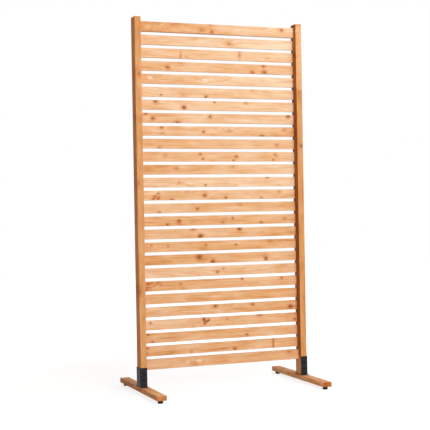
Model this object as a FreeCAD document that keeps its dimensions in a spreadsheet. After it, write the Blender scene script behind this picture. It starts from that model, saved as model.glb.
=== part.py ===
import FreeCAD, Part
import Sketcher
import os

# Garden privacy screen: a slatted wooden panel between two posts, each post in a bent steel
# shoe bolted to a foot beam, and each beam on two screw-adjustable feet.
# Millimetres. X runs along the screen, the front looks towards -Y, Z is up.
# The origin is on the floor, in the middle of the four feet.

SLAT_COUNT = 25
GRIP_FLUTES = 12
LEFT, RIGHT = -1, 1
FRONT, BACK = -1, 1

SIZES = {
    # posts
    "post_width": 32,
    "post_depth": 56,
    "post_easing": 2,
    "post_top_chamfer": 1.5,
    "post_forward": 11,
    "clear_width": 810,
    "top_reveal": 18,
    # top and bottom rail
    "bottom_rail_lift": 78,
    "rail_height": 47,
    "rail_thickness": 28,
    "rail_setback": 26,
    "rail_easing": 2,
    "rail_tenon_length": 20,
    "rail_tenon_height": 35,
    "rail_tenon_thickness": 14,
    # slats
    "slat_height": 47,
    "slat_thickness": 14,
    "slat_setback": 37,
    "slat_gap": 15.3,
    "slat_easing": 1.5,
    "slat_tenon_length": 12,
    "slat_tenon_height": 37,
    "slat_tenon_thickness": 8,
    # brads through the slat tenons and screws through the rail tenons, from behind
    "brad_radius": 0.8,
    "brad_length": 20,
    "rail_screw_radius": 2.1,
    "rail_screw_length": 30,
    "rail_screw_head_radius": 4.2,
    "rail_screw_head_depth": 3,
    # steel shoe, its screws into the post and its bolts through the beam
    "shoe_plate": 3,
    "shoe_wall_height": 90,
    "shoe_flange": 14,
    "shoe_bend_radius": 1.5,
    "shoe_corner_radius": 3,
    "shoe_screw_lift": 30,
    "shoe_screw_spacing": 30,
    "shoe_screw_radius": 2,
    "shoe_screw_length": 25,
    "shoe_screw_head_radius": 4.5,
    "shoe_screw_head_height": 2.6,
    "shoe_screw_socket_radius": 2,
    "shoe_screw_socket_depth": 1.6,
    "bolt_radius": 3,
    "bolt_length": 24,
    "bolt_head_radius": 5.25,
    "bolt_head_height": 3.3,
    "bolt_socket_radius": 2.3,
    "bolt_socket_depth": 2,
    "hole_clearance": 0.2,
    "screw_point": 4,
    "tee_nut_barrel_radius": 4,
    "tee_nut_length": 10.5,
    "tee_nut_flange_radius": 8.5,
    "tee_nut_flange": 1.5,
    # foot beams
    "beam_length": 600,
    "beam_width": 47,
    "beam_height": 23,
    "beam_easing": 2,
    "beam_inset": 3,
    # adjustable feet
    "foot_inset": 25,
    "insert_radius": 6,
    "insert_length": 14,
    "insert_flange": 1,
    "insert_flange_radius": 10,
    "stud_radius": 4,
    "stud_reach": 19,
    "stud_hole_spare": 1.5,
    "stud_hex_radius": 7.5,
    "stud_hex_height": 4,
    "grip_radius": 12.5,
    "grip_height": 11,
    "grip_edge": 1,
    "grip_flute_radius": 1.4,
    "grip_flute_offset": 0.5,
    "sole_radius": 12,
    "sole_thickness": 2,
    "sole_neck_radius": 6,
    "sole_neck_height": 1.6,
    "sole_button_radius": 7,
    "sole_button_height": 1.6,
    "running_clearance": 0.08,
}

# Places worked out from the sizes. Each is an expression in the sheet's names.
BEAM_BOTTOM = "(sizes.sole_thickness + sizes.grip_height + sizes.insert_flange)"
BEAM_TOP = f"({BEAM_BOTTOM} + sizes.beam_height)"
POST_BOTTOM = f"({BEAM_TOP} + sizes.shoe_plate)"
SLAT_PITCH = "(sizes.slat_height + sizes.slat_gap)"
RAIL_PITCH = f"(sizes.rail_height + sizes.slat_gap + {SLAT_COUNT} * {SLAT_PITCH})"
PANEL_FOOT = "(sizes.bottom_rail_lift - sizes.shoe_plate)"
FIRST_SLAT = f"({PANEL_FOOT} + sizes.rail_height + sizes.slat_gap)"
POST_LENGTH = f"({PANEL_FOOT} + {RAIL_PITCH} + sizes.rail_height + sizes.top_reveal)"
POST_FROM_MIDDLE = "(sizes.clear_width / 2 + sizes.post_width / 2)"
BEAM_FROM_MIDDLE = f"({POST_FROM_MIDDLE} - sizes.beam_inset)"
RAIL_Y = "(sizes.rail_setback + sizes.rail_thickness / 2 - sizes.post_depth / 2)"
SLAT_Y = "(sizes.slat_setback + sizes.slat_thickness / 2 - sizes.post_depth / 2)"
SHOE_DEPTH = "(sizes.post_depth + 2 * sizes.shoe_plate)"
SHOE_WIDTH = "(sizes.post_width + sizes.shoe_plate)"
BOLT_PITCH = f"({SHOE_DEPTH} + sizes.shoe_flange)"
FOOT_PITCH = "(sizes.beam_length - 2 * sizes.foot_inset)"

doc = FreeCAD.newDocument("privacy_screen")
sheet = doc.addObject("Spreadsheet::Sheet", "sizes")
for row, (alias, number) in enumerate(SIZES.items(), start=1):
    sheet.set(f"A{row}", alias)
    sheet.set(f"B{row}", str(number))
    sheet.setAlias(f"B{row}", alias)
doc.recompute()

nodes = []


def new_body(label, place):
    """An empty sub-part whose own origin stands at the place, given as three expressions."""
    body = doc.addObject("PartDesign::Body", label)
    body.Label = label
    body.AllowCompound = True
    for axis, expression in zip("xyz", place):
        body.setExpression(f"Placement.Base.{axis}", expression)
    nodes.append(body)
    return body


def origin_part(body, role):
    return next(part for part in body.Origin.OriginFeatures if part.Role == role)


def new_sketch(body, name, role, offset):
    """A sketch parallel to one of the body's planes, its own origin at the offset.

    The offset is along the sketch's own axes: x, y and z on XY_Plane; x, z and -y on XZ_Plane;
    y, z and x on YZ_Plane.
    """
    sketch = body.newObject("Sketcher::SketchObject", name)
    sketch.AttachmentSupport = (origin_part(body, role), "")
    sketch.MapMode = "FlatFace"
    for letter, expression in zip("xyz", offset):
        sketch.setExpression(f"AttachmentOffset.Base.{letter}", expression)
    return sketch


def outline(body, name, role, offset, points):
    """A closed outline of straight lines through points given as pairs of expressions."""
    sketch = new_sketch(body, name, role, offset)
    corners = [
        FreeCAD.Vector(float(sheet.evalExpression(across)), float(sheet.evalExpression(up)), 0)
        for across, up in points]
    for index, corner in enumerate(corners):
        sketch.addGeometry(Part.LineSegment(corner, corners[(index + 1) % len(corners)]), False)
    for index, (across, up) in enumerate(points):
        following = (index + 1) % len(corners)
        sketch.addConstraint(Sketcher.Constraint("Coincident", index, 2, following, 1))
        for way, expression, value in (("X", across, corners[index].x), ("Y", up, corners[index].y)):
            number = sketch.addConstraint(
                Sketcher.Constraint(f"Distance{way}", -1, 1, index, 1, value))
            sketch.setExpression(f"Constraints[{number}]", expression)
    return sketch


def circle(body, name, role, offset, radius):
    sketch = new_sketch(body, name, role, offset)
    value = float(sheet.evalExpression(radius))
    sketch.addGeometry(Part.Circle(FreeCAD.Vector(), FreeCAD.Vector(0, 0, 1), value), False)
    sketch.addConstraint(Sketcher.Constraint("Coincident", 0, 3, -1, 1))
    number = sketch.addConstraint(Sketcher.Constraint("Radius", 0, value))
    sketch.setExpression(f"Constraints[{number}]", radius)
    return sketch


def extruded(body, kind, name, sketch, length, towards_normal):
    """A Pad or Pocket of the sketch, both of which leave it on the same side."""
    feature = body.newObject(f"PartDesign::{kind}", name)
    feature.Profile = sketch
    feature.setExpression("Length", length)
    feature.Reversed = towards_normal == (kind == "Pocket")
    return feature


def box(body, kind, name, size, centre):
    """A Pad or Pocket on its centre in x and y and its underside in z."""
    half = [f"({length}) / 2" for length in size[:2]]
    corners = [(f"{x} * {half[0]}", f"{y} * {half[1]}") for x, y in ((-1, -1), (1, -1), (1, 1), (-1, 1))]
    sketch = outline(body, f"{name}_outline", "XY_Plane", centre, corners)
    return extruded(body, kind, name, sketch, size[2], towards_normal=True)


def straight(body, kind, name, make_sketch, size, length, start, axis):
    """A Pad or Pocket from its start along +Z or, with axis y, towards +Y."""
    if axis == "z":
        sketch = make_sketch(body, f"{name}_outline", "XY_Plane", start, size)
    else:
        across = (start[0], start[2], f"-({start[1]})")
        sketch = make_sketch(body, f"{name}_outline", "XZ_Plane", across, size)
    return extruded(body, kind, name, sketch, length, towards_normal=axis == "z")


def rod(body, kind, name, radius, length, start, axis="z"):
    return straight(body, kind, name, circle, radius, length, start, axis)


def hexagon(body, kind, name, radius, length, start, axis="z"):
    """A hexagonal Pad or Pocket with its corners on the radius."""
    corners = [(f"({radius}) * cos({angle})", f"({radius}) * sin({angle})")
               for angle in range(0, 360, 60)]
    return straight(body, kind, name, outline, corners, length, start, axis)


def turned(body, kind, name, points, start, axis="z"):
    """A full turn of an outline of (radius, height along the axis) points about the axis.

    kind is Revolution to add the turned shape or Groove to cut it away.
    """
    if axis == "z":
        role, line, offset = "XZ_Plane", "V_Axis", (start[0], start[2], f"-({start[1]})")
    else:
        role, line, offset = "YZ_Plane", "H_Axis", (start[1], start[2], start[0])
        points = [(height, radius) for radius, height in points]
    sketch = outline(body, f"{name}_outline", role, offset, points)
    feature = body.newObject(f"PartDesign::{kind}", name)
    feature.Profile = sketch
    feature.ReferenceAxis = (sketch, [line])
    feature.Angle = 360
    return feature


def row_of(body, name, originals, role, length, count):
    """The originals repeated in a straight row of count places over the length."""
    pattern = body.newObject("PartDesign::LinearPattern", name)
    pattern.Originals = originals
    pattern.Direction = (origin_part(body, role), [""])
    pattern.setExpression("Length", length)
    pattern.Occurrences = count
    body.Tip = pattern
    return pattern


def ease(body, kind, name, size, wanted):
    """A fillet or chamfer of the given size on the tip's straight edges that are wanted."""
    doc.recompute()
    base = body.Tip
    edges = []
    for number, edge in enumerate(base.Shape.Edges, start=1):
        ends = [vertex.Point for vertex in edge.Vertexes]
        if len(ends) == 2 and isinstance(edge.Curve, Part.Line) and wanted(*ends):
            edges.append(f"Edge{number}")
    feature = body.newObject(f"PartDesign::{kind}", name)
    feature.Base = (base, edges)
    feature.setExpression({"Fillet": "Radius", "Chamfer": "Size"}[kind], size)
    return feature


def along(letter):
    """A test for edges that run along one axis."""
    others = [other for other in "xyz" if other != letter]

    def test(start, end):
        return all(abs(getattr(start, other) - getattr(end, other)) < 1e-6 for other in others)
    return test


def mirrored_row(body, name, originals, length, count):
    """The originals repeated upwards, then the whole row mirrored from the front to the back."""
    both = body.newObject("PartDesign::MultiTransform", name)
    upwards = body.newObject("PartDesign::LinearPattern", f"{name}_upwards")
    upwards.Direction = (origin_part(body, "Z_Axis"), [""])
    upwards.setExpression("Length", length)
    upwards.Occurrences = count
    backwards = body.newObject("PartDesign::Mirrored", f"{name}_backwards")
    backwards.MirrorPlane = (origin_part(body, "XZ_Plane"), [""])
    both.Originals = originals
    both.Transformations = [upwards, backwards]
    body.Tip = both


def post_place(side):
    return f"{side} * {POST_FROM_MIDDLE}", "-sizes.post_forward", POST_BOTTOM


def beam_place(side):
    return f"{side} * {BEAM_FROM_MIDDLE}", "0", BEAM_BOTTOM


# Outlines of the turned pieces, as (radius, height along the axis).

def shoe_screw_outline():
    """A pan-head screw through the front wall of the shoe, its point towards the back."""
    seat = f"-{SHOE_DEPTH} / 2"
    point = f"{seat} + sizes.shoe_screw_length"
    return [
        ("0", f"{seat} - sizes.shoe_screw_head_height"),
        ("sizes.shoe_screw_head_radius * 0.7", f"{seat} - sizes.shoe_screw_head_height"),
        ("sizes.shoe_screw_head_radius", f"{seat} - sizes.shoe_screw_head_height / 2"),
        ("sizes.shoe_screw_head_radius", seat),
        ("sizes.shoe_screw_radius", seat),
        ("sizes.shoe_screw_radius", f"{point} - sizes.screw_point"),
        ("0", point),
    ]


def rail_screw_outline():
    """A countersunk screw flush with the back of the post, its point towards the front."""
    seat = "sizes.post_depth / 2"
    point = f"{seat} - sizes.rail_screw_length"
    return [
        ("0", seat),
        ("sizes.rail_screw_head_radius", seat),
        ("sizes.rail_screw_radius", f"{seat} - sizes.rail_screw_head_depth"),
        ("sizes.rail_screw_radius", f"{point} + sizes.screw_point"),
        ("0", point),
    ]


def bolt_outline():
    """A button-head bolt that stands on the shoe's flange and reaches down into the tee nut."""
    seat = "sizes.shoe_plate"
    return [
        ("0", f"{seat} + sizes.bolt_head_height"),
        ("sizes.bolt_head_radius * 0.6", f"{seat} + sizes.bolt_head_height"),
        ("sizes.bolt_head_radius", f"{seat} + sizes.bolt_head_height / 3"),
        ("sizes.bolt_head_radius", seat),
        ("sizes.bolt_radius", seat),
        ("sizes.bolt_radius", f"{seat} - sizes.bolt_length"),
        ("0", f"{seat} - sizes.bolt_length"),
    ]


def tee_nut_outline():
    """A tee nut sunk into the beam's underside, bored for the bolt."""
    return [
        ("sizes.bolt_radius", "0"),
        ("sizes.tee_nut_flange_radius", "0"),
        ("sizes.tee_nut_flange_radius", "sizes.tee_nut_flange"),
        ("sizes.tee_nut_barrel_radius", "sizes.tee_nut_flange"),
        ("sizes.tee_nut_barrel_radius", "sizes.tee_nut_length"),
        ("sizes.bolt_radius", "sizes.tee_nut_length"),
    ]


def insert_outline():
    """A threaded insert in the beam with its flange under it, bored for the foot's stud."""
    bore = "sizes.stud_radius + sizes.running_clearance"
    barrel_top = "sizes.insert_length - sizes.insert_flange"
    return [
        (bore, "-sizes.insert_flange"),
        ("sizes.insert_flange_radius", "-sizes.insert_flange"),
        ("sizes.insert_flange_radius", "0"),
        ("sizes.insert_radius", "0"),
        ("sizes.insert_radius", barrel_top),
        (bore, barrel_top),
    ]


BUTTON_FOOT = "(sizes.sole_thickness + sizes.sole_neck_height)"
BUTTON_TOP = f"({BUTTON_FOOT} + sizes.sole_button_height)"
HEX_FOOT = f"({BUTTON_TOP} + sizes.running_clearance)"
HEX_TOP = f"({HEX_FOOT} + sizes.stud_hex_height)"
GRIP_FOOT = "(sizes.sole_thickness + sizes.running_clearance)"
GRIP_TOP = "(sizes.sole_thickness + sizes.grip_height - sizes.running_clearance)"


def sole_outline():
    """A rubber disc with a neck and a wider button that holds it in the grip."""
    return [
        ("0", "0"),
        ("sizes.sole_radius", "0"),
        ("sizes.sole_radius", "sizes.sole_thickness"),
        ("sizes.sole_neck_radius", "sizes.sole_thickness"),
        ("sizes.sole_neck_radius", BUTTON_FOOT),
        ("sizes.sole_button_radius", BUTTON_FOOT),
        ("sizes.sole_button_radius", BUTTON_TOP),
        ("0", BUTTON_TOP),
    ]


def grip_outline():
    """The moulded grip: a collar round the sole's neck, a room for its button, the stud's bore."""
    neck = "sizes.sole_neck_radius + sizes.running_clearance"
    room = "sizes.sole_button_radius + sizes.running_clearance"
    ledge = f"{BUTTON_FOOT} - sizes.running_clearance"
    return [
        (neck, GRIP_FOOT),
        ("sizes.grip_radius - sizes.grip_edge", GRIP_FOOT),
        ("sizes.grip_radius", f"{GRIP_FOOT} + sizes.grip_edge"),
        ("sizes.grip_radius", f"{GRIP_TOP} - sizes.grip_edge"),
        ("sizes.grip_radius - sizes.grip_edge", GRIP_TOP),
        ("sizes.stud_radius", GRIP_TOP),
        ("sizes.stud_radius", HEX_FOOT),
        (room, HEX_FOOT),
        (room, ledge),
        (neck, ledge),
    ]


def make_post(side, label):
    """A post with its mortises, and the holes of every screw and brad that enters it."""
    post = new_body(label, post_place(side))
    box(post, "Pad", f"{label}_board",
        ("sizes.post_width", "sizes.post_depth", POST_LENGTH), ("0", "0", "0"))
    ease(post, "Fillet", f"{label}_long_edges", "sizes.post_easing", along("z"))
    top = float(sheet.evalExpression(POST_LENGTH))
    ease(post, "Chamfer", f"{label}_top_edges", "sizes.post_top_chamfer",
         lambda start, end: start.z > top - 1e-6 and end.z > top - 1e-6)

    def tenon_middle(length):
        return f"{-side} * (sizes.post_width - {length}) / 2"

    slat_x = tenon_middle("sizes.slat_tenon_length")
    rail_x = tenon_middle("sizes.rail_tenon_length")
    slat_mortise = box(
        post, "Pocket", f"{label}_slat_mortise",
        ("sizes.slat_tenon_length", "sizes.slat_tenon_thickness", "sizes.slat_tenon_height"),
        (slat_x, SLAT_Y, f"{FIRST_SLAT} + (sizes.slat_height - sizes.slat_tenon_height) / 2"))
    brad_hole = rod(post, "Pocket", f"{label}_brad_hole", "sizes.brad_radius",
                    "sizes.brad_length", brad_start(side), axis="y")
    row_of(post, f"{label}_slat_row", [slat_mortise, brad_hole], "Z_Axis",
           f"{SLAT_COUNT - 1} * {SLAT_PITCH}", SLAT_COUNT)
    rail_mortise = box(
        post, "Pocket", f"{label}_rail_mortise",
        ("sizes.rail_tenon_length", "sizes.rail_tenon_thickness", "sizes.rail_tenon_height"),
        (rail_x, RAIL_Y, f"{PANEL_FOOT} + (sizes.rail_height - sizes.rail_tenon_height) / 2"))
    rail_screw_hole = turned(post, "Groove", f"{label}_rail_screw_hole", rail_screw_outline(),
                             rail_screw_start(side), axis="y")
    row_of(post, f"{label}_rail_row", [rail_mortise, rail_screw_hole], "Z_Axis", RAIL_PITCH, 2)
    shoe_screw_hole = turned(post, "Groove", f"{label}_shoe_screw_hole", shoe_screw_outline(),
                             ("0", "0", "sizes.shoe_screw_lift"), axis="y")
    mirrored_row(post, f"{label}_shoe_screw_holes", [shoe_screw_hole],
                 "sizes.shoe_screw_spacing", 2)


def brad_start(side):
    """The point of the lowest brad, in the post's own axes."""
    return (f"{-side} * (sizes.post_width - sizes.slat_tenon_length) / 2",
            "sizes.post_depth / 2 - sizes.brad_length",
            f"{FIRST_SLAT} + sizes.slat_height / 2")


def rail_screw_start(side):
    """The axis of the lower rail's screw, in the post's own axes."""
    return (f"{-side} * (sizes.post_width - sizes.rail_tenon_length) / 2",
            "0",
            f"{PANEL_FOOT} + sizes.rail_height / 2")


def make_post_fasteners(side, name):
    brads = new_body(f"{name}_slat_brads", post_place(side))
    brad = rod(brads, "Pad", f"{name}_brad", "sizes.brad_radius", "sizes.brad_length",
               brad_start(side), axis="y")
    row_of(brads, f"{name}_brad_row", [brad], "Z_Axis",
           f"{SLAT_COUNT - 1} * {SLAT_PITCH}", SLAT_COUNT)

    rail_screws = new_body(f"{name}_rail_screws", post_place(side))
    rail_screw = turned(rail_screws, "Revolution", f"{name}_rail_screw", rail_screw_outline(),
                        rail_screw_start(side), axis="y")
    row_of(rail_screws, f"{name}_rail_screw_pair", [rail_screw], "Z_Axis", RAIL_PITCH, 2)

    shoe_screws = new_body(f"{name}_shoe_screws", post_place(side))
    shoe_screw = turned(shoe_screws, "Revolution", f"{name}_shoe_screw", shoe_screw_outline(),
                        ("0", "0", "sizes.shoe_screw_lift"), axis="y")
    socket = hexagon(
        shoe_screws, "Pocket", f"{name}_shoe_screw_socket",
        "sizes.shoe_screw_socket_radius", "sizes.shoe_screw_socket_depth",
        ("0", f"-{SHOE_DEPTH} / 2 - sizes.shoe_screw_head_height", "sizes.shoe_screw_lift"),
        axis="y")
    mirrored_row(shoe_screws, f"{name}_shoe_screw_set", [shoe_screw, socket],
                 "sizes.shoe_screw_spacing", 2)


def make_board(label, place, size, tenon, easing):
    """A horizontal board between the posts with a centred tenon at both ends."""
    board = new_body(label, place)
    thickness, height = size
    tenon_length, tenon_thickness, tenon_height = tenon
    box(board, "Pad", f"{label}_board",
        ("sizes.clear_width", thickness, height), ("0", "0", "0"))
    ease(board, "Fillet", f"{label}_long_edges", easing, along("x"))
    box(board, "Pad", f"{label}_tenons",
        (f"sizes.clear_width + 2 * {tenon_length}", tenon_thickness, tenon_height),
        ("0", "0", f"({height} - {tenon_height}) / 2"))
    return board


def drill_tenons(board, label, tenon, thickness, height, radius):
    """A hole from front to back through the middle of each tenon."""
    hole = rod(board, "Pocket", f"{label}_hole", radius, thickness,
               (f"-(sizes.clear_width + {tenon}) / 2", f"-{thickness} / 2", f"{height} / 2"),
               axis="y")
    row_of(board, f"{label}_holes", [hole], "X_Axis", f"sizes.clear_width + {tenon}", 2)


def make_rail(label, lift):
    rail = make_board(
        label, ("0", f"{RAIL_Y} - sizes.post_forward", f"{BEAM_TOP} + {lift}"),
        ("sizes.rail_thickness", "sizes.rail_height"),
        ("sizes.rail_tenon_length", "sizes.rail_tenon_thickness", "sizes.rail_tenon_height"),
        "sizes.rail_easing")
    drill_tenons(rail, label, "sizes.rail_tenon_length", "sizes.rail_thickness",
                 "sizes.rail_height", "sizes.rail_screw_radius")


def make_slat(number):
    """Slat number 1 is the topmost."""
    label = f"slat_{number:02d}"
    lift = f"{POST_BOTTOM} + {FIRST_SLAT} + {SLAT_COUNT - number} * {SLAT_PITCH}"
    slat = make_board(
        label, ("0", f"{SLAT_Y} - sizes.post_forward", lift),
        ("sizes.slat_thickness", "sizes.slat_height"),
        ("sizes.slat_tenon_length", "sizes.slat_tenon_thickness", "sizes.slat_tenon_height"),
        "sizes.slat_easing")
    drill_tenons(slat, label, "sizes.slat_tenon_length", "sizes.slat_thickness",
                 "sizes.slat_height", "sizes.brad_radius")


def make_shoe(side, name):
    """A base plate with a three-sided wall round the post, open towards the panel."""
    label = f"{name}_post_shoe"
    shoe = new_body(label, (post_place(side)[0], post_place(side)[1], BEAM_TOP))
    middle = f"{side} * sizes.shoe_plate / 2"
    box(shoe, "Pad", f"{label}_block",
        (SHOE_WIDTH, SHOE_DEPTH, "sizes.shoe_plate + sizes.shoe_wall_height"), (middle, "0", "0"))
    outer = "sizes.shoe_bend_radius + sizes.shoe_plate"
    ease(shoe, "Fillet", f"{label}_outer_bends", outer,
         lambda start, end: along("z")(start, end) and start.x * side > 0)
    box(shoe, "Pad", f"{label}_base",
        (SHOE_WIDTH, f"{SHOE_DEPTH} + 2 * sizes.shoe_flange", "sizes.shoe_plate"),
        (middle, "0", "0"))
    flange_end = float(sheet.evalExpression(f"{SHOE_DEPTH} / 2 + sizes.shoe_flange")) - 1e-6
    ease(shoe, "Fillet", f"{label}_base_corners", "sizes.shoe_corner_radius",
         lambda start, end: along("z")(start, end) and abs(start.y) > flange_end)
    wall_top = float(sheet.evalExpression("sizes.shoe_plate + sizes.shoe_wall_height")) - 1e-6
    box(shoe, "Pocket", f"{label}_room",
        (SHOE_WIDTH, "sizes.post_depth", "sizes.shoe_wall_height"),
        (f"{-side} * sizes.shoe_plate / 2", "0", "sizes.shoe_plate"))
    room = float(sheet.evalExpression("sizes.post_width / 2")) - 1e-6
    wall = float(sheet.evalExpression("sizes.post_depth / 2")) + 1e-6
    ease(shoe, "Fillet", f"{label}_inner_bends", "sizes.shoe_bend_radius",
         lambda start, end: along("z")(start, end) and start.x * side > room
         and abs(start.y) < wall)
    ease(shoe, "Fillet", f"{label}_free_corners", "sizes.shoe_corner_radius",
         lambda start, end: along("y")(start, end) and start.x * side < 0
         and start.z > wall_top)
    screw_hole = rod(
        shoe, "Pocket", f"{label}_screw_hole", "sizes.shoe_screw_radius + sizes.hole_clearance",
        SHOE_DEPTH, ("0", f"-{SHOE_DEPTH} / 2", "sizes.shoe_plate + sizes.shoe_screw_lift"),
        axis="y")
    row_of(shoe, f"{label}_screw_holes", [screw_hole], "Z_Axis", "sizes.shoe_screw_spacing", 2)
    bolt_hole = rod(
        shoe, "Pocket", f"{label}_bolt_hole", "sizes.bolt_radius + sizes.hole_clearance",
        "sizes.shoe_plate", (middle, f"-{BOLT_PITCH} / 2", "0"))
    row_of(shoe, f"{label}_bolt_holes", [bolt_hole], "Y_Axis", BOLT_PITCH, 2)


def make_bolts(side, name):
    place = (post_place(side)[0], post_place(side)[1], BEAM_TOP)
    bolts = new_body(f"{name}_shoe_bolts", place)
    start = (f"{side} * sizes.shoe_plate / 2", f"-{BOLT_PITCH} / 2", "0")
    bolt = turned(bolts, "Revolution", f"{name}_bolt", bolt_outline(), start)
    socket_foot = "sizes.shoe_plate + sizes.bolt_head_height - sizes.bolt_socket_depth"
    socket = hexagon(bolts, "Pocket", f"{name}_bolt_socket", "sizes.bolt_socket_radius",
                     "sizes.bolt_socket_depth", (start[0], start[1], socket_foot))
    row_of(bolts, f"{name}_bolt_pair", [bolt, socket], "Y_Axis", BOLT_PITCH, 2)


def bolt_in_beam(side):
    """The front bolt's axis in the beam's own axes."""
    return (f"{side} * (sizes.beam_inset + sizes.shoe_plate / 2)",
            f"-sizes.post_forward - {BOLT_PITCH} / 2",
            "0")


def foot_in_beam():
    """The front foot's axis in the beam's own axes."""
    return "0", f"-{FOOT_PITCH} / 2", "0"


def make_beam(side, name):
    label = f"{name}_foot_beam"
    beam = new_body(label, beam_place(side))
    box(beam, "Pad", f"{label}_board",
        ("sizes.beam_width", "sizes.beam_length", "sizes.beam_height"), ("0", "0", "0"))
    ease(beam, "Fillet", f"{label}_edges", "sizes.beam_easing", lambda start, end: True)
    bolt_hole = rod(beam, "Pocket", f"{label}_bolt_hole",
                    "sizes.bolt_radius + sizes.hole_clearance", "sizes.beam_height",
                    bolt_in_beam(side))
    nut_seat = rod(beam, "Pocket", f"{label}_nut_seat", "sizes.tee_nut_flange_radius",
                   "sizes.tee_nut_flange", bolt_in_beam(side))
    nut_hole = rod(beam, "Pocket", f"{label}_nut_hole", "sizes.tee_nut_barrel_radius",
                   "sizes.tee_nut_length", bolt_in_beam(side))
    row_of(beam, f"{label}_bolt_holes", [bolt_hole, nut_seat, nut_hole], "Y_Axis", BOLT_PITCH, 2)
    insert_hole = rod(beam, "Pocket", f"{label}_insert_hole", "sizes.insert_radius",
                      "sizes.insert_length - sizes.insert_flange", foot_in_beam())
    stud_hole = rod(beam, "Pocket", f"{label}_stud_hole",
                    "sizes.stud_radius + sizes.hole_clearance",
                    "sizes.stud_reach + sizes.stud_hole_spare", foot_in_beam())
    row_of(beam, f"{label}_foot_holes", [insert_hole, stud_hole], "Y_Axis", FOOT_PITCH, 2)

    nuts = new_body(f"{name}_tee_nuts", beam_place(side))
    nut = turned(nuts, "Revolution", f"{name}_tee_nut", tee_nut_outline(), bolt_in_beam(side))
    row_of(nuts, f"{name}_tee_nut_pair", [nut], "Y_Axis", BOLT_PITCH, 2)

    inserts = new_body(f"{name}_foot_inserts", beam_place(side))
    insert = turned(inserts, "Revolution", f"{name}_foot_insert", insert_outline(), foot_in_beam())
    row_of(inserts, f"{name}_foot_insert_pair", [insert], "Y_Axis", FOOT_PITCH, 2)


def make_foot(side, end, name):
    """A foot on its axis from the floor up: the sole, the grip that turns on it and the stud."""
    place = (f"{side} * {BEAM_FROM_MIDDLE}", f"{end} * {FOOT_PITCH} / 2", "0")
    axis = ("0", "0", "0")
    sole = new_body(f"{name}_sole", place)
    turned(sole, "Revolution", f"{name}_sole_disc", sole_outline(), axis)

    grip = new_body(f"{name}_grip", place)
    turned(grip, "Revolution", f"{name}_grip_collar", grip_outline(), axis)
    hexagon(grip, "Pocket", f"{name}_hex_room", "sizes.stud_hex_radius",
            "sizes.stud_hex_height", ("0", "0", HEX_FOOT))
    flute = rod(grip, "Pocket", f"{name}_flute", "sizes.grip_flute_radius",
                f"{GRIP_TOP} - {GRIP_FOOT}",
                ("sizes.grip_radius + sizes.grip_flute_offset", "0", GRIP_FOOT))
    flutes = grip.newObject("PartDesign::PolarPattern", f"{name}_flutes")
    flutes.Originals = [flute]
    flutes.Axis = (origin_part(grip, "Z_Axis"), [""])
    flutes.Angle = 360
    flutes.Occurrences = GRIP_FLUTES
    grip.Tip = flutes

    stud = new_body(f"{name}_stud", place)
    hexagon(stud, "Pad", f"{name}_stud_hex", "sizes.stud_hex_radius",
            "sizes.stud_hex_height", ("0", "0", HEX_FOOT))
    rod(stud, "Pad", f"{name}_stud_shank", "sizes.stud_radius",
        f"{BEAM_BOTTOM} + sizes.stud_reach - {HEX_TOP}", ("0", "0", HEX_TOP))


for side, name in ((LEFT, "left"), (RIGHT, "right")):
    make_post(side, f"{name}_post")
    make_post_fasteners(side, name)
    make_shoe(side, name)
    make_bolts(side, name)
    make_beam(side, name)
    for end, word in ((FRONT, "front"), (BACK, "back")):
        make_foot(side, end, f"{name}_{word}_foot")
make_rail("bottom_rail", "sizes.bottom_rail_lift")
make_rail("top_rail", f"sizes.bottom_rail_lift + {RAIL_PITCH}")
for number in range(1, SLAT_COUNT + 1):
    make_slat(number)

doc.recompute()
for item in doc.Objects:
    if any(word in str(item.State) for word in ("Invalid", "Error")):
        raise RuntimeError(f"{item.Name} is {item.State}")
for node in nodes:
    if node.Shape.isNull() or not node.Shape.isValid():
        raise RuntimeError(f"{node.Label} has no valid shape")

os.makedirs("parts", exist_ok=True)
for node in nodes:
    node.Shape.exportStep(f"parts/{node.Label}.step")
    print(f"{node.Label}: {len(node.Shape.Solids)} solid(s), {node.Shape.Volume / 1000:.2f} cm3")
whole = Part.makeCompound([node.Shape for node in nodes]).BoundBox
print(f"{len(nodes)} nodes, x {whole.XMin:.1f} to {whole.XMax:.1f}, "
      f"y {whole.YMin:.1f} to {whole.YMax:.1f}, z {whole.ZMin:.1f} to {whole.ZMax:.1f}")
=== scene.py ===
import math

import bmesh
import bpy
from mathutils import Matrix, Vector


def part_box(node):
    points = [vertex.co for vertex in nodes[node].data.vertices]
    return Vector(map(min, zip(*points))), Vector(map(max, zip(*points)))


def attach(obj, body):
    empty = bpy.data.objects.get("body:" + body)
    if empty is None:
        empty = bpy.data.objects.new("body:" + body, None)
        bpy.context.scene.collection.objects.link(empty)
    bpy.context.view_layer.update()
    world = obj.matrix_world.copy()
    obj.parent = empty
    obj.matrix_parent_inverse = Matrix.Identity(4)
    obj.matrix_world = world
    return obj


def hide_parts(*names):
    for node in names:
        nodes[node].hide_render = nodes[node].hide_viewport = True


# The looks of a garden privacy screen: honey-stained softwood boards, black powder-coated shoes,
# black screws and bolts, and threaded feet. The scene is in metres, while the patterns and the
# fasteners' forms are laid out in millimetres.

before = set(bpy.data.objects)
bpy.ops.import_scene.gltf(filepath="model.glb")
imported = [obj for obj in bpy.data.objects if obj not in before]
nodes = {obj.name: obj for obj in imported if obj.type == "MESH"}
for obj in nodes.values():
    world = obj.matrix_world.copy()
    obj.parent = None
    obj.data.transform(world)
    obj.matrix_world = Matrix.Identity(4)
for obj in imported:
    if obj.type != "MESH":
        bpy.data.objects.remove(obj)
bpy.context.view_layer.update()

MM = 0.001
SIDES = ("left", "right")
ENDS = ("front", "back")


def dress(name, material):
    """Gives a CAD piece its material."""
    piece = nodes[name]
    if not piece.material_slots:
        piece.data.materials.append(material)
    for slot in piece.material_slots:
        slot.material = material


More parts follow.
